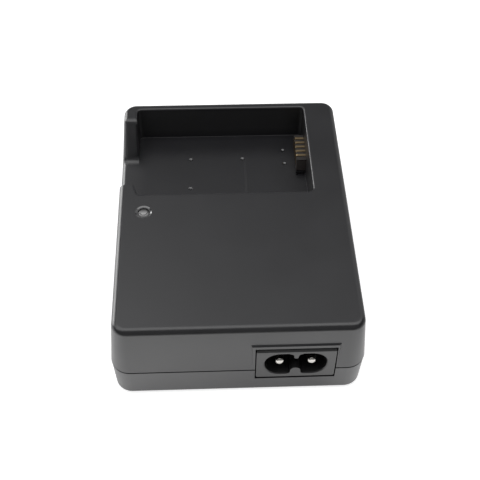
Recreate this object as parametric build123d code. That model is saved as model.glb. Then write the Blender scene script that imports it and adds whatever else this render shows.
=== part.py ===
from build123d import *
import math
import os

# Charger for a slim camera battery: a two-part moulded case with an open battery pocket,
# a figure-eight mains inlet in the front wall and the power circuit inside.
# Millimetres, +Z up, front wall towards -Y, origin at the middle of the bottom face.

os.makedirs("parts", exist_ok=True)

# Battery that the charger takes
battery_length = 51.6
battery_width = 36.0
battery_clear = 0.25

# Case, measured at the parting line where it is widest
left_wall_t = 5.55
right_bay = 10.85
front_bay = 49.65
back_wall_t = 4.25
under_pocket = 15.5
pocket_depth = 11.9
seam_z = 10.55
seam_gap = 0.6
top_lean = 1.5
bottom_lean = 0.5
bottom_inset = 0.1
corner_r = 5.2
deck_edge_r = 1.7
foot_edge_r = 1.2
wall = 2.0
deck_t = 2.0
base_t = 2.0
lip_t = 0.7
lip_height = 1.6
lip_clear = 0.3
panel_margin_x = 12.25
panel_margin_y = 18.75
panel_depth = 0.3
panel_corner_r = 2.0
pocket_length = battery_length + 2 * battery_clear
pocket_width = battery_width + 2 * battery_clear
case_width = left_wall_t + pocket_length + right_bay
case_depth = front_bay + pocket_width + back_wall_t
case_height = under_pocket + pocket_depth
left = -case_width / 2
right = case_width / 2
front = -case_depth / 2
back = case_depth / 2

# Battery pocket
pocket_wall = 1.6
pocket_floor_t = 1.6
pocket_corner_r = 1.3
pocket_foot_r = 0.15
pocket_rim_r = 0.6
pocket_ease = 1.1
pocket_left = left + left_wall_t
pocket_right = right - right_bay
pocket_front = front + front_bay
pocket_back = back - back_wall_t
pocket_floor = under_pocket

# Left side of the pocket: corner post, steep slope, low finger opening and deck stub
stub_length = 3.85
slope_length = 5.9
corner_post = 4.95
slope_foot_r = 2.4
slope_top_r = 2.0
slope_rim_r = 0.8
stub_back = pocket_front + stub_length
slope_back = pocket_back - corner_post
slope_front = slope_back - slope_length
sill_z = pocket_floor

# Low rail with a sloping top, and small dimples, on the pocket floor
rail_width = 0.8
rail_height = 0.14
rail_root = 0.3
rail_from_left = 32.9
rail_x = pocket_left + rail_from_left
rail_back = pocket_back - 10.9
rail_front = pocket_front + 1.0
hollow_r = 0.75
hollow_depth = 0.27
hollow_row_from_back = 10.65
hollow_far_from_left = 32.6
hollow_places = (
    (pocket_right - 6.5, pocket_back - 7.25),
    (pocket_right - 6.3, pocket_back - 13.15),
    (pocket_left + 16.3, pocket_back - hollow_row_from_back),
    (pocket_left + hollow_far_from_left, pocket_back - hollow_row_from_back),
    (pocket_left + 16.1, pocket_back - 23.2),
)

# Status lamp
lamp_x = pocket_left + 3.15
lamp_y = pocket_front - 6.9
lamp_r = 1.5
lamp_clear = 0.12
lamp_sink_r = 2.35
lamp_sink_floor_r = 1.95
lamp_sink_depth = 0.2
lamp_dome_r = 0.6
lamp_drop = 0.05
lamp_flange_r = 2.8
lamp_flange_t = 1.0
led_width = 3.2
led_depth = 2.8
led_base_t = 1.2
led_height = 2.0
led_dome_r = 1.1

# Circuit board
board_t = 1.6
board_bottom = base_t + 2.2
board_top = board_bottom + board_t
board_margin_x = 3.85
board_margin_y = 4.15
board_corner_r = 2.0
board_post_r = 1.8
lead_r = 0.4
lead_clear = 0.3
lead_tail = 1.0
sheet_t = 0.4
sheet_margin = 4.5
sheet_corner_r = 1.5
mid_post_from_left = 36.25
mid_post_from_end = 8.75
board_posts = (
    (left + 7.75, front + 18.75),
    (left + 7.75, pocket_front + 14.05),
    (right - 10.25, pocket_front + 10.05),
    (left + mid_post_from_left, front + mid_post_from_end),
    (left + mid_post_from_left, back - mid_post_from_end),
)

# Mains inlet
inlet_from_right = 19.15
inlet_rise = 7.05
inlet_x = right - inlet_from_right
inlet_z = board_top + inlet_rise
plate_width = 21.1
plate_height = 12.2
plate_rise = 1.1
plate_bottom = board_top + plate_rise
plate_top = plate_bottom + plate_height
plate_inset = 0.2
plate_front = front + plate_inset
plate_t = 2.4
plate_gap = 0.3
plate_top_gap = 0.6
plate_foot_gap = 0.9
plate_corner_r = 0.6
plate_slope_depth = 1.0
plate_slope_height = 0.7
inlet_body_width = 19.6
inlet_body_top = plate_top - 0.9
slot_width = 16.6
slot_height = 9.1
slot_side_flat = 0.7
slot_corner_r = (slot_height - slot_side_flat) / 2
slot_lead_in = 0.25
slot_depth = 12.0
slot_tooth_depths = (2.7, 2.0)
slot_tooth_radii = (1.4, 0.6)
slot_shoulder_radii = (0.8, 1.1)
slot_floor_t = 2.6
inlet_back = plate_front + slot_depth + slot_floor_t
pin_spacing = 8.6
pin_r = 1.2
pin_tip = 0.6
pin_tip_r = 0.7
pin_root_r = 0.7
pin_root_gap = 0.2
pin_collar_r = 1.9
pin_collar_t = 0.8
pin_tail_r = 0.6
pin_hole_clear = 0.3
pad_left_side = 0.75
pad_right_side = 0.35
pad_rise = 0.95
pad_inset = 0.05
pad_lean = 0.45
pad_root = 3.0
pad_chamfer = 0.6

# Battery contacts
block_length = 11.2
block_from_back = 5.35
block_y = (pocket_back - block_from_back - block_length, pocket_back - block_from_back)
block_reach = 2.95
block_face = pocket_right - block_reach
block_back = pocket_right + 6.5
block_top = pocket_floor + 4.8
block_clear = 0.3
catch_length = 1.7
catch_depth = 1.1
blade_t = 0.8
blade_pitch = 1.88
blade_count = 5
blade_first_y = pocket_back - 14.45
blade_proud = 0.15
blade_tip = block_face - blade_proud
blade_bottom = pocket_floor + 1.2
blade_top = block_top + blade_proud
blade_tip_r = 0.6
blade_clear = 0.1
blade_tail_x = (pocket_right + 3.7, pocket_right + 4.9)

# Case screws, driven up from below
screw_places = (
    (left + 5.75, front + 6.75),
    (right - 5.25, front + 22.75),
    (left + 5.75, back - 6.15),
    (right - 6.25, back - 5.85),
)
screw_r = 1.1
screw_clear = 0.3
screw_head_r = 2.1
screw_head_t = 1.6
screw_seat_z = 5.0
screw_length = 8.2
sink_r = 2.5
base_boss_r = 3.4
top_boss_r = 2.9
boss_z = 8.2
cross_length = 2.4
cross_width = 0.6
cross_depth = 0.8

# Transformer lying with its winding axis along Y
trafo_from_left = 29.25
trafo_from_front = 31.25
trafo_x = left + trafo_from_left
trafo_y = front + trafo_from_front
trafo_axis = 8.0
core_side = 20.0
core_t = 6.0
leg_w = 6.0
side_leg = 3.0
yoke = 3.2
tube_gap = 0.2
tube_t = 0.8
flange_t = 0.9
bobbin_foot = 17.0
bobbin_lead_r = 0.35
bobbin_pitch = 3.5
coil_corner_r = 1.6

# Mains side of the circuit
can_from_left = 13.75
input_can_from_front = 11.0
input_can = (left + can_from_left, front + input_can_from_front)
input_can_r = 5.0
input_can_height = 17.0
filter_can_from_front = 21.0
filter_can = (left + can_from_left, front + filter_can_from_front)
filter_can_r = 4.5
filter_can_height = 15.0
can_rim_r = 0.6
can_groove_z = 1.8
can_lead_gap = 5.0
choke_from_left = 24.75
choke_from_front = 10.25
choke = (left + choke_from_left, front + choke_from_front)
choke_r = 4.2
choke_waist_r = 3.2
choke_height = 9.6
choke_flange_t = 1.2
choke_lead_gap = 4.0
fuse_from_left = 30.75
fuse_from_front = 14.75
fuse_place = (left + fuse_from_left, front + fuse_from_front)
fuse_r = 3.0
fuse_height = 8.0
fuse_lead_gap = 3.2
bridge_from_left = 8.75
bridge_from_front = 30.15
bridge = (left + bridge_from_left, front + bridge_from_front)
bridge_length = 8.4
bridge_width = 4.6
bridge_height = 3.2
bridge_pitch = 5.1
switch_from_left = 45.75
switch_from_front = 31.25
switch_chip = (left + switch_from_left, front + switch_from_front)
switch_length = 9.4
switch_width = 6.4
switch_height = 3.3
chip_pitch = 2.54
chip_lead_reach = 0.7
chip_lead_r = 0.3
safety_from_front = 40.15
safety = (left + switch_from_left, front + safety_from_front)
safety_width = 7.0
safety_t = 3.4
safety_height = 8.0
safety_r = 1.2
safety_lead_gap = 3.2

# Battery side of the circuit
output_from_left = 55.75
output_from_front = 35.25
output_can = (left + output_from_left, front + output_from_front)
output_can_r = 4.0
output_can_height = 13.0
output_lead_gap = 3.5
opto_from_left = 54.25
opto_from_pocket = 3.0
opto = (left + opto_from_left, pocket_front + opto_from_pocket)
opto_length = 4.8
opto_width = 6.4
opto_height = 3.4
rectifier_from_pocket = 11.0
rectifier = (left + opto_from_left, pocket_front + rectifier_from_pocket)
rectifier_length = 7.0
rectifier_width = 5.9
rectifier_height = 2.4
rectifier_tab = 1.2
rectifier_tab_width = 2.9
rectifier_tab_t = 0.9
charge_from_left = 34.25
charge_from_pocket = 16.05
charge_chip = (left + charge_from_left, pocket_front + charge_from_pocket)
charge_length = 10.0
charge_width = 4.0
charge_height = 1.6
charge_pitch = 1.27
charge_lead = 1.1
charge_lead_w = 0.4
charge_lead_t = 0.3

# Derived heights
top_z = seam_z + seam_gap / 2
rim_z = seam_z - seam_gap / 2
top_taper = math.degrees(math.atan(top_lean / (case_height - top_z)))
bottom_taper = math.degrees(math.atan(bottom_lean / rim_z))

board_holes = []
nodes = {}


def box(x0, x1, y0, y1, z0, z1):
    """Box between two corners."""
    centre = ((x0 + x1) / 2, (y0 + y1) / 2, (z0 + z1) / 2)
    return Pos(*centre) * Box(x1 - x0, y1 - y0, z1 - z0)


def post(x, y, r, z0, z1):
    """Upright round post."""
    return Pos(x, y, (z0 + z1) / 2) * Cylinder(r, z1 - z0)


def rod_y(x, z, r, y0, y1):
    """Round rod along Y."""
    return Pos(x, (y0 + y1) / 2, z) * Rot(90, 0, 0) * Cylinder(r, y1 - y0)


def top_block(inset, z1):
    """Leaning block of the top cover, taken in from its outside by an inset."""
    outline = RectangleRounded(case_width - 2 * inset, case_depth - 2 * inset, corner_r - inset)
    return extrude(Pos(0, 0, top_z) * outline, amount=z1 - top_z, taper=top_taper)


def bottom_block(inset, z0):
    """Leaning block of the bottom cover, widening from a height up to the rim."""
    shift = inset + bottom_inset + bottom_lean * (rim_z - z0) / rim_z
    radius = max(corner_r - shift, 0.6)
    outline = RectangleRounded(case_width - 2 * shift, case_depth - 2 * shift, radius)
    return extrude(Pos(0, 0, z0) * outline, amount=rim_z - z0, taper=-bottom_taper)


def ring(outer_inset, inner_inset, z0, z1):
    """Upright rim that follows the case outline."""
    outer = RectangleRounded(
        case_width - 2 * outer_inset, case_depth - 2 * outer_inset, corner_r - outer_inset)
    inner = RectangleRounded(
        case_width - 2 * inner_inset, case_depth - 2 * inner_inset, corner_r - inner_inset)
    return extrude(Pos(0, 0, z0) * (outer - inner), amount=z1 - z0)


def with_leads(body, places, r=0.4):
    """Body with solder leads that pass through the board."""
    for x, y in places:
        body += post(x, y, r, board_bottom - lead_tail, board_top + 0.6)
        board_holes.append((x, y, r + lead_clear))
    return body


# Top cover: leaning block, its left wall cut down to a low sill with a steep slope up to the corner post
side_profile = make_face(Polyline(
    (stub_back, 2 * case_height),
    (stub_back, sill_z),
    (slope_front, sill_z),
    (slope_back, case_height),
    (slope_back + corner_post, case_height + 0.05),
    (slope_back + corner_post, 2 * case_height),
    close=True,
))
side_profile = fillet(side_profile.vertices().sort_by_distance((slope_front, sill_z))[0], slope_foot_r)
side_profile = fillet(side_profile.vertices().sort_by_distance((slope_back, case_height))[0], slope_top_r)
side_plane = Plane(origin=(2 * left, 0, 0), x_dir=(0, 1, 0), z_dir=(1, 0, 0))
side_cut = extrude(side_plane * side_profile, amount=pocket_left - 2 * left + pocket_foot_r)
shell = top_block(0, case_height) - side_cut

# Deck edge, rounded all the way round and on down the slope and the sill
top_edges = shell.edges().filter_by(lambda e: e.center().Z > sill_z - 0.1)
rim_edges = top_edges.filter_by(lambda e: e.center().Z > case_height - 0.01)
rim_edges = rim_edges.filter_by(lambda e: abs(e.center().X) > right - 2.2 or abs(e.center().Y) > back - 2.2)
side_edges = top_edges.filter_by(lambda e: e.center().Z < case_height - 0.01 and e.center().X < left + 2.2)
side_edges = side_edges.filter_by(lambda e: stub_back + 0.1 < e.center().Y < slope_back + slope_top_r)
shell = fillet(rim_edges + side_edges, deck_edge_r)
outside = shell
shell -= top_block(wall, case_height - deck_t)
bucket = box(2 * left, pocket_right + pocket_wall, pocket_front - pocket_wall, 2 * back,
             pocket_floor - pocket_floor_t, case_height)
shell += bucket & outside

# Battery pocket with an easing at its front left corner
pocket_outline = make_face(Polyline(
    (pocket_left, stub_back),
    (pocket_left + pocket_ease, pocket_front),
    (pocket_right, pocket_front),
    (pocket_right, pocket_back),
    (pocket_left, pocket_back),
    close=True,
))
pocket_outline = fillet(pocket_outline.vertices(), pocket_corner_r)
pocket = extrude(Pos(0, 0, pocket_floor) * pocket_outline, amount=case_height + 2 - pocket_floor)
pocket = fillet(pocket.edges().group_by(Axis.Z)[0], pocket_foot_r)
shell -= pocket
rim_edges = shell.edges().filter_by(lambda e: abs(e.center().Z - case_height) < 0.01)
rim_edges = rim_edges.filter_by(lambda e: pocket_front - 0.5 < e.center().Y < pocket_back + 0.5)
rim_edges = rim_edges.filter_by(lambda e: pocket_left - 0.5 < e.center().X < pocket_right + 0.5)
shell = fillet(rim_edges, pocket_rim_r)

# Inner edge of the slope, rounded
slope_turn = math.atan2(case_height - sill_z, slope_length)
slope_start = slope_foot_r * math.tan(slope_turn / 2)
slope_end = math.hypot(case_height - sill_z, slope_length) - slope_top_r * math.tan(slope_turn / 2)
slope_dir = (0, math.cos(slope_turn), math.sin(slope_turn))
slope_foot = (pocket_left, slope_front + slope_start * slope_dir[1], sill_z + slope_start * slope_dir[2])
slope_plane = Plane(origin=slope_foot, x_dir=(-1, 0, 0), z_dir=slope_dir)
round_corner = Rectangle(2 * slope_rim_r, 2 * slope_rim_r) - Pos(slope_rim_r, -slope_rim_r) * Rectangle(
    2 * slope_rim_r, 2 * slope_rim_r)
round_corner += Pos(slope_rim_r / 2, -slope_rim_r / 2) * Rectangle(slope_rim_r, slope_rim_r)
round_corner -= Pos(slope_rim_r, -slope_rim_r) * Circle(slope_rim_r)
shell -= extrude(slope_plane * round_corner, amount=slope_end - slope_start)

# Screw posts under the deck and under the pocket
for x, y in screw_places:
    below_pocket = y > pocket_front and x < pocket_right
    post_top = pocket_floor - pocket_floor_t / 2 if below_pocket else case_height - deck_t / 2
    shell += post(x, y, top_boss_r, boss_z, post_top)
for x, y in screw_places:
    shell -= post(x, y, screw_r + screw_clear, boss_z - 1, screw_seat_z + screw_length + 0.6)

# Lamp hole with a shallow sink
shell -= post(lamp_x, lamp_y, lamp_r + lamp_clear, case_height - deck_t - 1, case_height + 1)
sink = Pos(lamp_x, lamp_y, case_height - lamp_sink_depth / 2)
shell -= sink * Cone(lamp_sink_floor_r, lamp_sink_r, lamp_sink_depth)

# Opening for the contacts and a catch slot in the floor in front of them
shell -= box(block_face - block_clear, pocket_right + pocket_wall + block_clear, block_y[0] - block_clear,
             block_y[1] + block_clear, pocket_floor, block_top + block_clear)
shell -= box(block_face, pocket_right - pocket_foot_r, block_y[0] - block_clear - catch_length,
             block_y[0] - block_clear, pocket_floor - catch_depth, block_top)

# Upright pad on the leaning front wall, with an opening for the mains inlet
plate_left = inlet_x - plate_width / 2
plate_right = inlet_x + plate_width / 2
hole_top = plate_top + plate_top_gap
pad_top = hole_top + pad_rise + pad_chamfer
pad_profile = make_face(Polyline(
    (front + pad_inset, top_z),
    (front + pad_inset + pad_lean, pad_top),
    (front + pad_root, pad_top),
    (front + pad_root, top_z),
    close=True,
))
pad_left = plate_left - plate_gap - pad_left_side - pad_chamfer
pad_right = plate_right + plate_gap + pad_right_side + pad_chamfer
pad_plane = Plane(origin=(pad_left, 0, 0), x_dir=(0, 1, 0), z_dir=(1, 0, 0))
pad = extrude(pad_plane * pad_profile, amount=pad_right - pad_left)
pad_edges = pad.faces().sort_by(Axis.Y)[0].edges().sort_by(Axis.Z)[1:]
shell += chamfer(pad_edges, pad_chamfer)
shell -= box(plate_left - plate_gap, plate_right + plate_gap, 2 * front, front + wall + 4, 0, hole_top)

# Rebate that takes the bottom cover's lip
shell -= ring(wall / 2, wall + 0.6, top_z - 1, top_z + lip_height)

# Floor rail, and dimples each hollowed by a ball
rail_profile = make_face(Polyline(
    (rail_x, rail_root - pocket_floor),
    (rail_x, -pocket_floor),
    (rail_x + rail_width, -pocket_floor - rail_height),
    (rail_x + rail_width, rail_root - pocket_floor),
    close=True,
))
rail_plane = Plane(origin=(0, rail_front, 0), x_dir=(1, 0, 0), z_dir=(0, 1, 0))
shell += extrude(rail_plane * rail_profile, amount=rail_back - rail_front)
ball_r = (hollow_r ** 2 + hollow_depth ** 2) / (2 * hollow_depth)
for x, y in hollow_places:
    shell -= Pos(x, y, pocket_floor - hollow_depth + ball_r) * Sphere(ball_r)
nodes["top_cover"] = shell

# Bottom cover: tray with a rounded foot, a lip, screw posts and board posts
tray = fillet(bottom_block(0, 0).edges().group_by(Axis.Z)[0], foot_edge_r)
tray -= bottom_block(wall, base_t)
tray += ring(wall / 2 + lip_clear, wall / 2 + lip_clear + lip_t, rim_z - 1.2, top_z + lip_height - lip_clear)
for x, y in screw_places:
    tray += post(x, y, base_boss_r, base_t - 0.5, boss_z) & bottom_block(0.5, 0)
for x, y in screw_places:
    tray -= post(x, y, screw_r + screw_clear, 0, boss_z + 1)
    tray -= post(x, y, sink_r, -1, screw_seat_z)
for x, y in board_posts:
    tray += post(x, y, board_post_r, base_t - 0.5, board_bottom)
tray -= box(plate_left - plate_gap, plate_right + plate_gap, 2 * front, front + wall + 4,
            plate_bottom - plate_foot_gap, case_height)
panel = RectangleRounded(case_width - 2 * panel_margin_x, case_depth - 2 * panel_margin_y, panel_corner_r)
tray -= extrude(panel, amount=panel_depth)
nodes["bottom_cover"] = tray

# Insulating sheet on the bottom cover's floor
sheet_outline = RectangleRounded(case_width - 2 * sheet_margin, case_depth - 2 * sheet_margin, sheet_corner_r)
sheet = extrude(Pos(0, 0, base_t) * sheet_outline, amount=sheet_t)
for x, y in screw_places:
    sheet -= post(x, y, base_boss_r + lead_clear, 0, board_top)
for x, y in board_posts:
    sheet -= post(x, y, board_post_r + lead_clear, 0, board_top)
nodes["insulation_sheet"] = sheet

# Mains inlet body with its figure-eight recess
plate = box(plate_left, plate_right, plate_front, plate_front + plate_t, plate_bottom, plate_top)
plate = fillet(plate.edges().filter_by(Axis.Y), plate_corner_r)
plate_slope = make_face(Polyline(
    (plate_front, plate_top - plate_slope_height),
    (plate_front + plate_slope_depth, plate_top),
    (plate_front, plate_top),
    close=True,
))
plate_plane = Plane(origin=(plate_left, 0, 0), x_dir=(0, 1, 0), z_dir=(1, 0, 0))
plate -= extrude(plate_plane * plate_slope, amount=plate_width)
inlet = plate + box(inlet_x - inlet_body_width / 2, inlet_x + inlet_body_width / 2,
                    plate_front + plate_t - 0.1, inlet_back, board_top, inlet_body_top)
slot_outline = RectangleRounded(slot_width, slot_height, slot_corner_r)
front_plane = Plane(origin=(inlet_x, plate_front, inlet_z), x_dir=(1, 0, 0), z_dir=(0, -1, 0))
lead_plane = Plane(origin=(inlet_x, plate_front + slot_lead_in, inlet_z), x_dir=(1, 0, 0), z_dir=(0, -1, 0))
slot = extrude(front_plane * slot_outline, amount=-slot_depth)
slot += extrude(lead_plane * slot_outline, amount=slot_lead_in, taper=-45)
slot_teeth = zip((-1, 1), slot_tooth_depths, slot_tooth_radii, slot_shoulder_radii)
for side, tooth_depth, tooth_r, shoulder_r in slot_teeth:
    tooth_width = 2 * (tooth_r + shoulder_r)
    neck = tooth_depth - tooth_r
    tooth = Pos(0, side * (slot_height - shoulder_r) / 2) * Rectangle(tooth_width, shoulder_r)
    for x in (-tooth_width / 2, tooth_width / 2):
        tooth -= Pos(x, side * (slot_height / 2 - shoulder_r)) * Circle(shoulder_r)
    tooth += Pos(0, side * (slot_height - neck) / 2) * Rectangle(2 * tooth_r, neck)
    tooth += Pos(0, side * (slot_height / 2 - neck)) * Circle(tooth_r)
    tooth += Pos(0, side * (slot_height / 2 + slot_lead_in)) * Rectangle(tooth_width, 2 * slot_lead_in)
    slot -= extrude(front_plane * tooth, amount=-slot_depth)
inlet -= slot
for side, name in ((-1, "inlet_pin_left"), (1, "inlet_pin_right")):
    x = inlet_x + side * pin_spacing / 2
    inlet -= rod_y(x, inlet_z, pin_root_r + pin_hole_clear, plate_front + slot_depth - 1, inlet_back + 1)
    tail_y = inlet_back + pin_collar_t + pin_tail_r + 0.6
    pin = rod_y(x, inlet_z, pin_r, plate_front + pin_tip, plate_front + slot_depth - pin_root_gap)
    tip_edge = pin.edges().filter_by(GeomType.CIRCLE).group_by(Axis.Y)[0]
    pin = fillet(tip_edge, pin_tip_r)
    pin += rod_y(x, inlet_z, pin_root_r, plate_front + slot_depth - 1, inlet_back + 0.1)
    pin += rod_y(x, inlet_z, pin_collar_r, inlet_back, inlet_back + pin_collar_t)
    pin += rod_y(x, inlet_z, pin_tail_r, inlet_back + 0.4, tail_y)
    pin += Pos(x, tail_y, inlet_z) * Sphere(pin_tail_r)
    pin += post(x, tail_y, pin_tail_r, board_bottom - lead_tail, inlet_z)
    board_holes.append((x, tail_y, pin_tail_r + lead_clear))
    nodes[name] = pin
nodes["inlet_body"] = inlet

# Status lamp: lens that runs down to a small lamp on the board
deck_under = case_height - deck_t
lens = post(lamp_x, lamp_y, lamp_r, board_top + led_height + lamp_clear, case_height - lamp_drop)
lens = fillet(lens.edges().group_by(Axis.Z)[-1], lamp_dome_r)
lens += post(lamp_x, lamp_y, lamp_flange_r, deck_under - lamp_flange_t, deck_under)
nodes["lamp_lens"] = lens
lamp = box(lamp_x - led_width / 2, lamp_x + led_width / 2, lamp_y - led_depth / 2, lamp_y + led_depth / 2,
           board_top, board_top + led_base_t)
lamp += post(lamp_x, lamp_y, led_dome_r, board_top + led_base_t - 0.1, board_top + led_height)
nodes["lamp_led"] = lamp

# Contact block that stands on the board and reaches through the pocket wall
block = box(pocket_right + pocket_wall + block_clear, block_back, block_y[0], block_y[1],
            board_top, block_top)
block += box(block_face, pocket_right + pocket_wall + block_clear + 0.1, block_y[0], block_y[1],
             pocket_floor + block_clear, block_top)
blade_plane = Plane.XZ


def blade_shape(thickness, y):
    """Stamped contact: a rounded tongue, a body in the block and a tail to the board."""
    tongue = Pos((blade_tip + blade_tail_x[1]) / 2, (blade_bottom + blade_top) / 2) * Rectangle(
        blade_tail_x[1] - blade_tip, blade_top - blade_bottom)
    tips = tongue.vertices().group_by(Axis.X)[0]
    tongue = fillet(tips, blade_tip_r)
    tail_low = board_bottom - lead_tail
    tongue += Pos((blade_tail_x[0] + blade_tail_x[1]) / 2, (tail_low + blade_bottom) / 2 + 0.1) * Rectangle(
        blade_tail_x[1] - blade_tail_x[0], blade_bottom - tail_low + 0.2)
    return Pos(0, y, 0) * extrude(blade_plane * tongue, amount=thickness / 2, both=True)


for i in range(blade_count):
    y = blade_first_y + i * blade_pitch
    nodes["contact_blade_%d" % (i + 1)] = blade_shape(blade_t, y)
    block -= blade_shape(blade_t + 2 * blade_clear, y)
    nodes["contact_block"] = block

# Transformer: ferrite core, bobbin and taped winding
trafo_z = board_top + trafo_axis
trafo = Pos(trafo_x, trafo_y, trafo_z)
core = trafo * Box(core_side, core_side, core_t)
window = (core_side - leg_w) / 2 - side_leg
for side in (-1, 1):
    core -= trafo * Pos(side * (leg_w + window) / 2, 0, 0) * Box(window, core_side - 2 * yoke, core_t + 1)
nodes["transformer_core"] = core
coil_len = core_side - 2 * yoke - 2 * tube_gap
tube_w = leg_w + 2 * tube_gap + 2 * tube_t
tube_h = core_t + 2 * tube_gap + 2 * tube_t
flange_w = leg_w + 2 * window - 2 * tube_gap
flange_h = 2 * trafo_axis - 1.0
bobbin = trafo * Box(tube_w, coil_len, tube_h)
foot_leads = []
for side in (-1, 1):
    bobbin += trafo * Pos(0, side * (coil_len - flange_t) / 2, 0) * Box(flange_w, flange_t, flange_h)
    foot_ends = sorted((trafo_y + side * (core_side / 2 + 0.5), trafo_y + side * (coil_len / 2 - flange_t)))
    bobbin += box(trafo_x - bobbin_foot / 2, trafo_x + bobbin_foot / 2, foot_ends[0], foot_ends[1],
                  board_top, trafo_z - core_t / 2)
    for step in (-2, -1, 0, 1, 2):
        foot_leads.append((trafo_x + step * bobbin_pitch, trafo_y + side * (core_side - yoke) / 2))
bobbin -= trafo * Box(leg_w + 2 * tube_gap, core_side, core_t)
nodes["transformer_bobbin"] = with_leads(bobbin, foot_leads, bobbin_lead_r)
coil = trafo * Box(flange_w - 2 * tube_gap, coil_len - 2 * flange_t, flange_h - 4 * tube_gap)
coil = fillet(coil.edges().filter_by(Axis.Y), coil_corner_r)
coil -= trafo * Box(tube_w, coil_len, tube_h)
nodes["transformer_winding"] = coil


def lead_pair(place, gap):
    """Two lead places, side by side along X."""
    return ((place[0] - gap / 2, place[1]), (place[0] + gap / 2, place[1]))


def can(place, r, height, lead_gap):
    """Upright can capacitor with a rolled top edge and a crimped groove."""
    body = post(place[0], place[1], r, board_top, board_top + height)
    body = fillet(body.edges().group_by(Axis.Z)[-1], can_rim_r)
    body -= Pos(place[0], place[1], board_top + can_groove_z) * Torus(r + can_rim_r / 2, can_rim_r)
    return with_leads(body, lead_pair(place, lead_gap), lead_r)


def dual_row(place, length, width, height, pitch, per_side, along_x):
    """Moulded chip package with two rows of bent leads, its length along X or Y."""
    at = Pos(place[0], place[1], board_top) * Rot(0, 0, 0 if along_x else 90)
    body = at * Pos(0, 0, height / 2) * Box(length, width, height)
    reach = width / 2 + chip_lead_reach
    shoulder = height / 2
    places = []
    for side in (-1, 1):
        for i in range(per_side):
            step = (i - (per_side - 1) / 2) * pitch
            arm = Pos(step, side * (reach - chip_lead_reach / 2), shoulder)
            body += at * arm * Box(2 * chip_lead_r, chip_lead_reach + 2 * chip_lead_r, chip_lead_r)
            leg = Pos(step, side * reach, shoulder / 2)
            body += at * leg * Box(2 * chip_lead_r, 2 * chip_lead_r, shoulder)
            end = (at * Pos(step, side * reach, 0)).position
            places.append((end.X, end.Y))
    return with_leads(body, places, chip_lead_r)


# Mains side of the circuit
nodes["input_capacitor"] = can(input_can, input_can_r, input_can_height, can_lead_gap)
nodes["filter_capacitor"] = can(filter_can, filter_can_r, filter_can_height, can_lead_gap)
drum = post(choke[0], choke[1], choke_waist_r, board_top, board_top + choke_height)
drum += post(choke[0], choke[1], choke_r, board_top, board_top + choke_flange_t)
drum += post(choke[0], choke[1], choke_r, board_top + choke_height - choke_flange_t, board_top + choke_height)
nodes["line_choke"] = with_leads(drum, lead_pair(choke, choke_lead_gap), lead_r)
fuse = post(fuse_place[0], fuse_place[1], fuse_r, board_top, board_top + fuse_height)
fuse = fillet(fuse.edges().group_by(Axis.Z)[-1], can_rim_r)
nodes["fuse"] = with_leads(fuse, lead_pair(fuse_place, fuse_lead_gap), lead_r)
nodes["bridge_rectifier"] = dual_row(
    bridge, bridge_length, bridge_width, bridge_height, bridge_pitch, 2, False)
nodes["switching_chip"] = dual_row(
    switch_chip, switch_length, switch_width, switch_height, chip_pitch, 4, False)
pillow = Pos(safety[0], safety[1], board_top + safety_height / 2) * Box(safety_width, safety_t, safety_height)
pillow = fillet(pillow.edges(), safety_r)
pillow += box(safety[0] - safety_lead_gap / 2 - lead_r, safety[0] + safety_lead_gap / 2 + lead_r,
              safety[1] - lead_r, safety[1] + lead_r, board_top, board_top + safety_r)
nodes["safety_capacitor"] = with_leads(pillow, lead_pair(safety, safety_lead_gap), lead_r)

# Battery side of the circuit
nodes["output_capacitor"] = can(output_can, output_can_r, output_can_height, output_lead_gap)
nodes["optocoupler"] = dual_row(opto, opto_length, opto_width, opto_height, chip_pitch, 2, True)
flat = Pos(rectifier[0], rectifier[1], board_top + rectifier_height / 2) * Box(
    rectifier_length, rectifier_width, rectifier_height)
flat += Pos(rectifier[0], rectifier[1], board_top + rectifier_tab_t / 2) * Box(
    rectifier_length + 2 * rectifier_tab, rectifier_tab_width, rectifier_tab_t)
nodes["output_rectifier"] = flat
chip = Pos(charge_chip[0], charge_chip[1], board_top + charge_height / 2) * Box(
    charge_length, charge_width, charge_height)
for i in range(8):
    x = charge_chip[0] + (i - 3.5) * charge_pitch
    chip += Pos(x, charge_chip[1], board_top + charge_lead_t / 2) * Box(
        charge_lead_w, charge_width + 2 * charge_lead, charge_lead_t)
    chip += Pos(x, charge_chip[1], board_top + charge_height / 4) * Box(
        charge_lead_w, charge_width + charge_lead, charge_height / 2)
nodes["charge_chip"] = chip

# Circuit board, cut away around the screw posts
board = box(left + board_margin_x, right - board_margin_x, front + board_margin_y, back - board_margin_y,
            board_bottom, board_top)
board = fillet(board.edges().filter_by(Axis.Z), board_corner_r)
for x, y in screw_places:
    board -= post(x, y, base_boss_r + lead_clear, 0, case_height)
for x, y, r in board_holes:
    board -= post(x, y, r, 0, case_height)
for i in range(blade_count):
    y = blade_first_y + i * blade_pitch
    board -= box(blade_tail_x[0] - 2 * blade_clear, blade_tail_x[1] + 2 * blade_clear,
                 y - blade_t / 2 - 2 * blade_clear, y + blade_t / 2 + 2 * blade_clear, 0, case_height)
nodes["main_board"] = board

# Self-tapping screws with pan heads
screws = []
for x, y in screw_places:
    head = post(x, y, screw_head_r, screw_seat_z - screw_head_t, screw_seat_z)
    head = fillet(head.edges().group_by(Axis.Z)[0], 0.5)
    for turn in (0, 90):
        cross = Box(cross_length, cross_width, 2 * cross_depth)
        head -= Pos(x, y, screw_seat_z - screw_head_t) * Rot(0, 0, turn) * cross
    screws.append(head + post(x, y, screw_r, screw_seat_z - 0.2, screw_seat_z + screw_length))
nodes["case_screws"] = Compound(children=screws)

for name, shape in nodes.items():
    export_step(shape, "parts/%s.step" % name)
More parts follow.
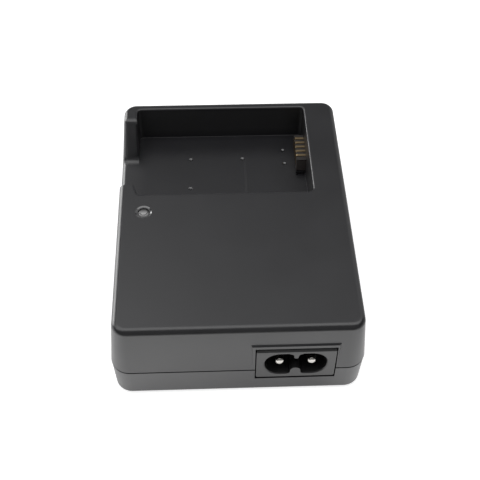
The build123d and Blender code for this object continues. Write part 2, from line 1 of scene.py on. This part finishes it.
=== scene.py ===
# %% [markdown]
# # A mains charger for a slim camera battery
# The charger is a small dark box in two mouldings. A battery drops into the open pocket at the back,
# gold blades in the pocket's right side meet its contacts, a small lamp on the deck shows the charge,
# and a mains lead plugs into the figure-eight inlet at the front. The solids already have their true
# shape and size, so this lesson is about finishes, light and the camera.

# %% Load the solids
import math

import bpy
from mathutils import Matrix, Vector

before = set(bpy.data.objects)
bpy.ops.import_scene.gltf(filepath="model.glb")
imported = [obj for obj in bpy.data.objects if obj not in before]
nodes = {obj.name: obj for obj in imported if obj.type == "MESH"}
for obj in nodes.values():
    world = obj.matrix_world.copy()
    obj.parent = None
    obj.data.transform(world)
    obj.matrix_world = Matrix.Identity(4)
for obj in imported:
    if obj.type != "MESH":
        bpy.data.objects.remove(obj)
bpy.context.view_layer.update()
print("solids loaded:", len(nodes))

# %% [markdown]
# ## A small kit for finishes
# Every finish is one Principled shader. What changes over a surface, such as grain or rubbing, comes
# from shared node groups, so each effect is built once and placed where it is needed. Lengths are in
# metres, so a texture scale of 5000 means grains of about a fifth of a millimetre.

# %% Helpers for materials and groups
def start_material(name):
    """New material with its Principled shader at hand."""
    material = bpy.data.materials.new(name)
    material.use_nodes = True
    tree = material.node_tree
    shader = tree.nodes["Principled BSDF"]
    return material, tree, shader


def start_group(name, inputs, outputs):
    """New shader node group with float sockets, its input and output nodes placed."""
    group = bpy.data.node_groups.new(name, "ShaderNodeTree")
    for label, value in inputs:
        socket = group.interface.new_socket(label, in_out="INPUT", socket_type="NodeSocketFloat")
        socket.default_value = value
    for label in outputs:
        group.interface.new_socket(label, in_out="OUTPUT", socket_type="NodeSocketFloat")
    return group, group.nodes.new("NodeGroupInput"), group.nodes.new("NodeGroupOutput")


def place_group(tree, group, values):
    """The group placed in a material, with this material's own values."""
    node = tree.nodes.new("ShaderNodeGroup")
    node.node_tree = group
    for label, value in values.items():
        node.inputs[label].default_value = value
    return node


def math_node(tree, operation, first, second):
    """One Math node; each side is a socket or a number."""
    node = tree.nodes.new("ShaderNodeMath")
    node.operation = operation
    for index, side in enumerate((first, second)):
        if isinstance(side, (int, float)):
            node.inputs[index].default_value = side
        else:
            tree.links.new(side, node.inputs[index])
    return node.outputs[0]


def map_range(tree, value, low, high, to_low, to_high):
    """Value stretched from one range to another."""
    node = tree.nodes.new("ShaderNodeMapRange")
    tree.links.new(value, node.inputs["Value"])
    node.inputs["From Min"].default_value = low
    node.inputs["From Max"].default_value = high
    node.inputs["To Min"].default_value = to_low
    node.inputs["To Max"].default_value = to_high
    return node.outputs["Result"]


def mix_colours(tree, factor, first, second):
    """Colour between two fixed colours."""
    node = tree.nodes.new("ShaderNodeMix")
    node.data_type = "RGBA"
    tree.links.new(factor, node.inputs["Factor"])
    node.inputs["A"].default_value = (*first, 1.0)
    node.inputs["B"].default_value = (*second, 1.0)
    return node.outputs["Result"]


grain_depth = 0.00001


def add_bump(tree, shader, height, strength):
    """Bump of one shallow depth from a height, fed into the shader's normal."""
    bump = tree.nodes.new("ShaderNodeBump")
    bump.inputs["Strength"].default_value = strength
    bump.inputs["Distance"].default_value = grain_depth
    tree.links.new(height, bump.inputs["Height"])
    tree.links.new(bump.outputs["Normal"], shader.inputs["Normal"])


def dress(material, *names):
    """Puts a material on solids by name."""
    for name in names:
        piece = nodes[name]
        piece.data.materials.clear()
        piece.data.materials.append(material)
    print(material.name, "on", ", ".join(names))


# %% [markdown]
# ## Moulded grain
# A mould for a case like this is spark eroded, which leaves a fine even grain in the plastic. Two sizes
# of noise make it: small pits for the bump, and a slow drift that keeps a wide face from looking even.
# Noise on Object coordinates is used because it needs no unwrapping and runs on over every edge.

# %% Grain group
grain_group, ins, outs = start_group(
    "moulded grain", [("Pits per metre", 5000.0), ("Drift per metre", 60.0)], ["Height", "Drift"])
coords = grain_group.nodes.new("ShaderNodeTexCoord")
pits = grain_group.nodes.new("ShaderNodeTexNoise")
pits.inputs["Detail"].default_value = 2.0
drift = grain_group.nodes.new("ShaderNodeTexNoise")
drift.inputs["Detail"].default_value = 3.0
for noise, label in ((pits, "Pits per metre"), (drift, "Drift per metre")):
    grain_group.links.new(coords.outputs["Object"], noise.inputs["Vector"])
    grain_group.links.new(ins.outputs[label], noise.inputs["Scale"])
grain_group.links.new(pits.outputs["Fac"], outs.inputs["Height"])
grain_group.links.new(drift.outputs["Fac"], outs.inputs["Drift"])
print("group:", grain_group.name)

# %% [markdown]
# ## Rubbed streaks
# Metal that is wiped, drawn or turned shows fine lines that all run one way. Stretching the noise
# along that way with a Mapping node gives lines instead of spots.

# %% Streak group
streak_group, ins, outs = start_group("rubbed streaks", [("Lines per metre", 3000.0)], ["Lines"])
coords = streak_group.nodes.new("ShaderNodeTexCoord")
stretch = streak_group.nodes.new("ShaderNodeMapping")
stretch.inputs["Scale"].default_value = (0.06, 1.0, 1.0)
lines = streak_group.nodes.new("ShaderNodeTexNoise")
lines.inputs["Detail"].default_value = 3.0
streak_group.links.new(coords.outputs["Object"], stretch.inputs["Vector"])
streak_group.links.new(stretch.outputs["Vector"], lines.inputs["Vector"])
streak_group.links.new(ins.outputs["Lines per metre"], lines.inputs["Scale"])
streak_group.links.new(lines.outputs["Fac"], outs.inputs["Lines"])
print("group:", streak_group.name)

# %% [markdown]
# ## Where the mould was left dull
# The deck of the mould is polished to a satin, but the deep pocket is hard to reach. Its floor stays duller
# and mirrors less, and only the small hollows left by ejector pins shine. Its walls, deep in shade, get a
# lighter colour: painted light.
# Three masks from the height and the place tell them apart. They fade out over the low left sill, where
# the real floor shows no edge, and end below the floor, so that nothing of them shows under the case.

# %% Pocket masks
pocket_group, ins, outs = start_group("pocket masks", [], ["Floor", "Painted wall light", "Hollows"])
coords = pocket_group.nodes.new("ShaderNodeTexCoord")
split = pocket_group.nodes.new("ShaderNodeSeparateXYZ")
pocket_group.links.new(coords.outputs["Object"], split.inputs["Vector"])
floor_fade = (0.0160, 0.0190)
wall_fade = (0.0260, 0.0270)
hollow_fade = (0.01542, 0.01548)
sill_fade = (-0.0320, -0.0260)
low = map_range(pocket_group, split.outputs["Z"], *floor_fade, 1.0, 0.0)
below_deck = map_range(pocket_group, split.outputs["Z"], *wall_fade, 1.0, 0.0)
inside = map_range(pocket_group, split.outputs["X"], *sill_fade, 0.0, 1.0)
pocket_limits = (
    ("X", 0.0242, 0.0240), ("Y", 0.0039, 0.0041), ("Y", 0.0415, 0.0413), ("Z", 0.0148, 0.0150))
for axis, outer, inner in pocket_limits:
    limit = map_range(pocket_group, split.outputs[axis], outer, inner, 0.0, 1.0)
    inside = math_node(pocket_group, "MULTIPLY", inside, limit)
pocket_group.links.new(math_node(pocket_group, "MULTIPLY", inside, low), outs.inputs["Floor"])
sunk = map_range(pocket_group, split.outputs["Z"], *hollow_fade, 1.0, 0.0)
pocket_group.links.new(math_node(pocket_group, "MULTIPLY", inside, sunk), outs.inputs["Hollows"])
# The walls mask carries painted light: a lighter colour for the pocket walls in shade.
high = math_node(pocket_group, "SUBTRACT", below_deck, low)
pocket_group.links.new(math_node(pocket_group, "MULTIPLY", inside, high), outs.inputs["Painted wall light"])
print("group:", pocket_group.name)

# %% [markdown]
# ## Round the lamp
# The shallow sink round the lamp is cut by a turning tool, which leaves it brighter than the rest of the
# mould. The distance from the lamp's axis gives a ring mask, kept to the deck by the height. The same
# measure shapes the lens later on, so it is a group of its own that also tells how far a point lies in
# front of the axis.

# %% Lamp measures
lamp_axis = (-0.02555, -0.00245, 0.0)
sink_radius = 0.00236
sink_bottom = 0.0265
lamp_group, ins, outs = start_group("lamp measures", [], ["Reach", "Ahead", "Ring"])
coords = lamp_group.nodes.new("ShaderNodeTexCoord")
offset = lamp_group.nodes.new("ShaderNodeVectorMath")
offset.operation = "SUBTRACT"
lamp_group.links.new(coords.outputs["Object"], offset.inputs[0])
offset.inputs[1].default_value = lamp_axis
flat = lamp_group.nodes.new("ShaderNodeVectorMath")
flat.operation = "MULTIPLY"
lamp_group.links.new(offset.outputs["Vector"], flat.inputs[0])
flat.inputs[1].default_value = (1.0, 1.0, 0.0)
reach = lamp_group.nodes.new("ShaderNodeVectorMath")
reach.operation = "LENGTH"
lamp_group.links.new(flat.outputs["Vector"], reach.inputs[0])
split = lamp_group.nodes.new("ShaderNodeSeparateXYZ")
lamp_group.links.new(offset.outputs["Vector"], split.inputs["Vector"])
lamp_group.links.new(reach.outputs["Value"], outs.inputs["Reach"])
lamp_group.links.new(math_node(lamp_group, "MULTIPLY", split.outputs["Y"], -1.0), outs.inputs["Ahead"])
near = math_node(lamp_group, "LESS_THAN", reach.outputs["Value"], sink_radius)
on_deck = math_node(lamp_group, "GREATER_THAN", split.outputs["Z"], sink_bottom)
lamp_group.links.new(math_node(lamp_group, "MULTIPLY", near, on_deck), outs.inputs["Ring"])
print("group:", lamp_group.name)

# %% [markdown]
# ## Plastics
# The case is dark satin plastic. By itself it is nearly black. It looks grey because it mirrors the room
# softly, so its own colour stays low and the gloss does the work. A reflection this strong for a plastic
# comes from a high refractive index, which a shiny filled plastic has.

# %% Case plastic
def plastic(name, smooth, rough, pits_per_metre):
    """Moulded plastic with grain and a roughness range; its colour is linked by the caller."""
    material, tree, shader = start_material(name)
    grain = place_group(tree, grain_group, {"Pits per metre": pits_per_metre, "Drift per metre": 70.0})
    satin = map_range(tree, grain.outputs["Drift"], 0.3, 0.7, smooth, rough)
    tree.links.new(satin, shader.inputs["Roughness"])
    shader.inputs["IOR"].default_value = 1.8
    add_bump(tree, shader, grain.outputs["Height"], 0.35)
    return material, tree, shader, grain.outputs["Drift"], satin


case_plastic, tree, shader, drift, satin = plastic("case plastic", 0.30, 0.36, 5200.0)
pocket = place_group(tree, pocket_group, {})
ring = place_group(tree, lamp_group, {}).outputs["Ring"]
bright = math_node(tree, "MAXIMUM", ring, pocket.outputs["Hollows"])
change = math_node(tree, "MULTIPLY", pocket.outputs["Floor"], 0.08)
change = math_node(tree, "SUBTRACT", change, math_node(tree, "MULTIPLY", bright, 0.16))
tree.links.new(math_node(tree, "ADD", satin, change), shader.inputs["Roughness"])
gloss = map_range(tree, pocket.outputs["Floor"], 0.0, 1.0, 0.5, 0.36)
gloss = math_node(tree, "ADD", gloss, math_node(tree, "MULTIPLY", bright, 0.4))
tree.links.new(gloss, shader.inputs["Specular IOR Level"])
# Painted light: the pocket walls, in deep shade, get a lighter colour than the deck.
painted_wall_light = tree.nodes.new("ShaderNodeMix")
painted_wall_light.data_type = "RGBA"
tree.links.new(pocket.outputs["Painted wall light"], painted_wall_light.inputs["Factor"])
tree.links.new(mix_colours(tree, drift, (0.014, 0.014, 0.0165), (0.018, 0.018, 0.021)), painted_wall_light.inputs["A"])
painted_wall_light.inputs["B"].default_value = (0.026, 0.026, 0.027, 1.0)
tree.links.new(painted_wall_light.outputs["Result"], shader.inputs["Base Color"])
dress(case_plastic, "top_cover", "bottom_cover")

# %% [markdown]
# ## Inlet and contact block
# The inlet is a bought piece of duller black plastic. The block that holds the contacts is brown black, and
# its lower half, which stands in the pocket's shade, gets a lighter colour as painted light, so its colour
# changes with the height.

# %% Inlet and block plastic
inlet_plastic, tree, shader, drift, satin = plastic("inlet plastic", 0.36, 0.42, 6500.0)
shade = mix_colours(tree, drift, (0.012, 0.012, 0.013), (0.015, 0.015, 0.016))
tree.links.new(shade, shader.inputs["Base Color"])
dress(inlet_plastic, "inlet_body")
block_plastic, tree, shader, drift, satin = plastic("contact block plastic", 0.40, 0.48, 6500.0)
coords = tree.nodes.new("ShaderNodeTexCoord")
split = tree.nodes.new("ShaderNodeSeparateXYZ")
tree.links.new(coords.outputs["Object"], split.inputs["Vector"])
# Painted light: below this height the block, in the pocket's shade, is coloured much lighter.
painted_light_low = map_range(tree, split.outputs["Z"], 0.0202, 0.0198, 0.0, 1.0)
shade = mix_colours(tree, painted_light_low, (0.022, 0.017, 0.014), (0.110, 0.095, 0.088))
tree.links.new(shade, shader.inputs["Base Color"])
dress(block_plastic, "contact_block")

# %% [markdown]
# ## Metals
# The inlet pins are nickel plated brass and the contact blades are gold plated spring metal. Both get
# faint streaks: the pins from the lead pushed over them, the blades from batteries sliding past.

# %% Nickel, gold and zinc
def metal(name, dull, bright, smooth, rough, lines_per_metre):
    """Plated metal with streaks that change its colour and roughness a little."""
    material, tree, shader = start_material(name)
    streaks = place_group(tree, streak_group, {"Lines per metre": lines_per_metre})
    shade = map_range(tree, streaks.outputs["Lines"], 0.3, 0.7, 0.0, 1.0)
    tree.links.new(mix_colours(tree, shade, dull, bright), shader.inputs["Base Color"])
    polish = map_range(tree, streaks.outputs["Lines"], 0.3, 0.7, rough, smooth)
    tree.links.new(polish, shader.inputs["Roughness"])
    shader.inputs["Metallic"].default_value = 1.0
    add_bump(tree, shader, streaks.outputs["Lines"], 0.15)
    return material


nickel = metal("pin nickel", (0.62, 0.60, 0.56), (0.76, 0.74, 0.70), 0.18, 0.32, 4000.0)
gold = metal("contact gold", (0.36, 0.26, 0.14), (0.54, 0.42, 0.26), 0.30, 0.44, 4500.0)
zinc = metal("screw zinc", (0.40, 0.40, 0.41), (0.55, 0.55, 0.56), 0.30, 0.45, 3500.0)
dress(nickel, "inlet_pin_left", "inlet_pin_right")
dress(gold, *["contact_blade_%d" % n for n in range(1, 6)])
dress(zinc, "case_screws")

# %% [markdown]
# ## Lamp
# The lens is clear plastic that carries the light up from a small lamp on the board. Unlit, it is mostly
# dark. The room's light that would enter at its back and gather at its front is painted into its colour: a
# painted glow on its front, with a thin painted dark line where the flat top turns over. Two measures on
# Object coordinates
# place this: how far a point lies in front of the lens's axis, and its distance from that axis.

# %% Lens
lens_clear, tree, shader = start_material("lens clear")
lamp = place_group(tree, lamp_group, {})
# Painted glow on the lens's front, with a painted dark line between the two reaches.
ahead = map_range(tree, lamp.outputs["Ahead"], -0.0009, 0.0007, 0.0, 1.0)
line_in = map_range(tree, lamp.outputs["Reach"], 0.0009, 0.0010, 1.0, 0.1)
line_out = map_range(tree, lamp.outputs["Reach"], 0.0011, 0.0013, 0.0, 1.0)
painted_glow = math_node(tree, "MULTIPLY", ahead, math_node(tree, "MAXIMUM", line_in, line_out))
shade = mix_colours(tree, painted_glow, (0.06, 0.06, 0.06), (0.52, 0.52, 0.52))
tree.links.new(shade, shader.inputs["Base Color"])
grain = place_group(tree, grain_group, {"Pits per metre": 3000.0, "Drift per metre": 900.0})
tree.links.new(map_range(tree, grain.outputs["Drift"], 0.3, 0.7, 0.10, 0.16), shader.inputs["Roughness"])
shader.inputs["IOR"].default_value = 1.49
add_bump(tree, shader, grain.outputs["Height"], 0.1)
dress(lens_clear, "lamp_lens")

# %% [markdown]
# ## Inside the case
# The circuit is closed in, but it is there, so it gets honest finishes too: green board, black chips,
# dark sleeves on the cans, yellow tape on the winding and grey ferrite. They all come from one
# function, because only their colours, gloss and grain differ.

# %% Finishes of the circuit
def circuit_finish(name, dark, light, smooth, rough, drift_per_metre):
    """Plain finish for a part of the circuit, with some drift in colour and gloss."""
    material, tree, shader = start_material(name)
    grain = place_group(tree, grain_group, {"Pits per metre": 4000.0, "Drift per metre": drift_per_metre})
    tree.links.new(mix_colours(tree, grain.outputs["Drift"], dark, light), shader.inputs["Base Color"])
    satin = map_range(tree, grain.outputs["Drift"], 0.3, 0.7, smooth, rough)
    tree.links.new(satin, shader.inputs["Roughness"])
    add_bump(tree, shader, grain.outputs["Height"], 0.2)
    return material


circuit = (
    (("board green", (0.03, 0.16, 0.07), (0.05, 0.22, 0.10), 0.30, 0.42, 250.0),
     ("main_board",)),
    (("film sheet", (0.66, 0.65, 0.60), (0.76, 0.75, 0.70), 0.40, 0.50, 120.0),
     ("insulation_sheet",)),
    (("ferrite grey", (0.05, 0.05, 0.055), (0.08, 0.08, 0.085), 0.55, 0.70, 700.0),
     ("transformer_core",)),
    (("bobbin black", (0.02, 0.02, 0.02), (0.035, 0.035, 0.035), 0.45, 0.55, 400.0),
     ("transformer_bobbin",)),
    (("winding tape", (0.70, 0.48, 0.06), (0.82, 0.60, 0.10), 0.25, 0.35, 500.0),
     ("transformer_winding",)),
    (("can sleeve", (0.03, 0.035, 0.06), (0.05, 0.06, 0.10), 0.22, 0.32, 300.0),
     ("input_capacitor", "filter_capacitor", "output_capacitor")),
    (("choke wrap", (0.05, 0.05, 0.05), (0.09, 0.09, 0.09), 0.40, 0.55, 600.0),
     ("line_choke",)),
    (("fuse brown", (0.09, 0.05, 0.03), (0.13, 0.08, 0.05), 0.35, 0.45, 500.0),
     ("fuse",)),
    (("chip black", (0.014, 0.014, 0.015), (0.022, 0.022, 0.023), 0.50, 0.62, 800.0),
     ("bridge_rectifier", "switching_chip", "optocoupler", "output_rectifier", "charge_chip")),
    (("disc blue", (0.04, 0.16, 0.42), (0.07, 0.22, 0.52), 0.25, 0.35, 400.0),
     ("safety_capacitor",)),
    (("lamp cream", (0.72, 0.70, 0.60), (0.84, 0.82, 0.74), 0.30, 0.40, 900.0),
     ("lamp_led",)),
)
for finish, pieces in circuit:
    dress(circuit_finish(*finish), *pieces)

# %% [markdown]
# ## Floor
# A studio table for a small product is plain white. It is lit like anything else, so the charger still
# throws its soft shadow on it, and a little glow of its own lifts it to white in the picture and in what
# the plastic mirrors. In front, where the camera stands, the table lies in the camera's shade, and close
# to the case's foot it is a little dimmer. The plastic alone shows that, as the dark band under the
# rounded front edge and a darker lower cover, so only glossy rays see it.

# %% White floor
bpy.ops.mesh.primitive_plane_add(size=6.0, location=(0.0, 0.0, 0.0))
floor = bpy.context.object
floor.name = "floor"
white_floor, tree, shader = start_material("floor white")
shader.inputs["Roughness"].default_value = 0.9
shader.inputs["Specular IOR Level"].default_value = 0.0
path = tree.nodes.new("ShaderNodeLightPath")
coords = tree.nodes.new("ShaderNodeTexCoord")
split = tree.nodes.new("ShaderNodeSeparateXYZ")
tree.links.new(coords.outputs["Object"], split.inputs["Vector"])
shade = map_range(tree, split.outputs["Y"], -0.078, -0.100, 0.0, 1.0)
# Glossy rays also see painted shade on the table to the right of the case.
right = map_range(tree, split.outputs["X"], 0.045, 0.075, 0.0, 0.7)
foot = map_range(tree, split.outputs["Y"], -0.058, -0.046, 0.0, 0.3)
for far, near in ((-0.034, 0.004), (0.030, 0.022)):
    foot = math_node(tree, "MULTIPLY", foot, map_range(tree, split.outputs["X"], far, near, 0.0, 1.0))
shade = math_node(tree, "MAXIMUM", math_node(tree, "MAXIMUM", shade, right), foot)
shade = math_node(tree, "MULTIPLY", shade, path.outputs["Is Glossy Ray"])
table_white = mix_colours(tree, shade, (0.86, 0.86, 0.86), (0.10, 0.10, 0.10))
tree.links.new(table_white, shader.inputs["Base Color"])
seen = math_node(tree, "MAXIMUM", path.outputs["Is Camera Ray"], path.outputs["Is Glossy Ray"])
seen = math_node(tree, "MAXIMUM", seen, path.outputs["Is Transmission Ray"])
seen = math_node(tree, "MULTIPLY", seen, map_range(tree, shade, 0.0, 1.0, 0.75, 0.05))
shader.inputs["Emission Color"].default_value = (1.0, 1.0, 1.0, 1.0)
tree.links.new(seen, shader.inputs["Emission Strength"])
floor.data.materials.append(white_floor)
print("floor:", floor.name)

# %% [markdown]
# ## Light
# A wide soft light hangs over the table and draws a thin bright line along every rounded edge that turns
# to the front. A smaller one, low on the left, lights up the left edge, and a weak one on the right keeps
# the right edge from going black. Area lights are used because a mirror on satin plastic shows their size.

# %% Soft lights
def soft_light(name, place, aim, width, depth, watts):
    """Rectangular soft light that points from one place to another."""
    lamp = bpy.data.lights.new(name, "AREA")
    lamp.shape = "RECTANGLE"
    lamp.size = width
    lamp.size_y = depth
    lamp.energy = watts
    light = bpy.data.objects.new(name, lamp)
    bpy.context.scene.collection.objects.link(light)
    direction = Vector(aim) - Vector(place)
    turn = direction.to_track_quat("-Z", "Y").to_matrix().to_4x4()
    light.matrix_world = Matrix.Translation(place) @ turn
    return light


overhead = soft_light("overhead light", (-0.12, -0.06, 0.62), (-0.12, -0.06, 0.0), 1.60, 0.44, 3.15)
side_light = soft_light("left light", (-0.75, 0.55, 0.22), (0.0, 0.0, 0.02), 0.60, 0.50, 4.2)
fill_light = soft_light("right light", (0.65, 0.50, 0.60), (0.0, 0.0, 0.02), 0.60, 0.50, 0.5)
for light in (overhead, side_light, fill_light):
    print("light:", light.name, light.data.energy, "W")

# %% [markdown]
# ## Room
# The deck mirrors the room behind it, so its shade is the room's: dark near the back, brighter higher up
# and to the left. A low pale strip stands for the paper that curves up behind the table, and a little
# light comes from the front, where the camera stands. Camera rays see plain white instead of the room.

# %% Room
room = bpy.data.worlds.new("room")
bpy.context.scene.world = room
room.use_nodes = True
tree = room.node_tree
background = tree.nodes["Background"]
coords = tree.nodes.new("ShaderNodeTexCoord")
split = tree.nodes.new("ShaderNodeSeparateXYZ")
tree.links.new(coords.outputs["Generated"], split.inputs["Vector"])
side = map_range(tree, split.outputs["X"], -0.20, 0.02, 1.25, 0.34)
behind = map_range(tree, split.outputs["Y"], 0.20, 0.60, 0.0, 1.0)
height = map_range(tree, split.outputs["Z"], 0.66, 0.90, 0.0, 2.0)
level = math_node(tree, "MULTIPLY", math_node(tree, "MULTIPLY", side, behind), height)
sweep = math_node(tree, "MULTIPLY", behind, map_range(tree, split.outputs["Z"], 0.10, 0.40, 0.6, 0.0))
front = map_range(tree, split.outputs["Y"], -0.30, -0.90, 0.06, 0.20)
level = math_node(tree, "ADD", math_node(tree, "ADD", level, sweep), front)
path = tree.nodes.new("ShaderNodeLightPath")
level = math_node(tree, "MAXIMUM", level, path.outputs["Is Camera Ray"])
background.inputs["Color"].default_value = (1.0, 1.0, 1.0, 1.0)
tree.links.new(level, background.inputs["Strength"])
print("room:", room.name)

# %% [markdown]
# ## Camera
# The picture is taken from the front, well above the deck, with a slightly long lens and a small tilt
# of the frame. The camera's place and turn come from fitting the case's whole outline.

# %% Camera
azimuth = math.radians(-2.9675)
elevation = math.radians(49.4451)
roll = math.radians(0.9417)
target = Vector((0.0020754, 0.0011767, 0.010))
distance = 0.2726443
focal_pixels = 906.2786
picture_pixels = 480.0
sensor_mm = 36.0

away = Vector((
    math.sin(azimuth) * math.cos(elevation), -math.cos(azimuth) * math.cos(elevation), math.sin(elevation)))
level_right = (-away).cross(Vector((0.0, 0.0, 1.0))).normalized()
level_up = level_right.cross(-away)
across = level_right * math.cos(roll) + level_up * math.sin(roll)
upward = level_up * math.cos(roll) - level_right * math.sin(roll)
lens = bpy.data.cameras.new("camera")
lens.sensor_width = sensor_mm
lens.lens = focal_pixels * sensor_mm / picture_pixels
lens.clip_start = 0.01
camera = bpy.data.objects.new("camera", lens)
bpy.context.scene.collection.objects.link(camera)
turn = Matrix((across, upward, away)).transposed().to_4x4()
camera.matrix_world = Matrix.Translation(target + away * distance) @ turn
bpy.context.scene.camera = camera
bpy.context.scene.view_settings.view_transform = "Standard"
print("camera:", [round(v, 4) for v in camera.location], "lens", round(lens.lens, 2))
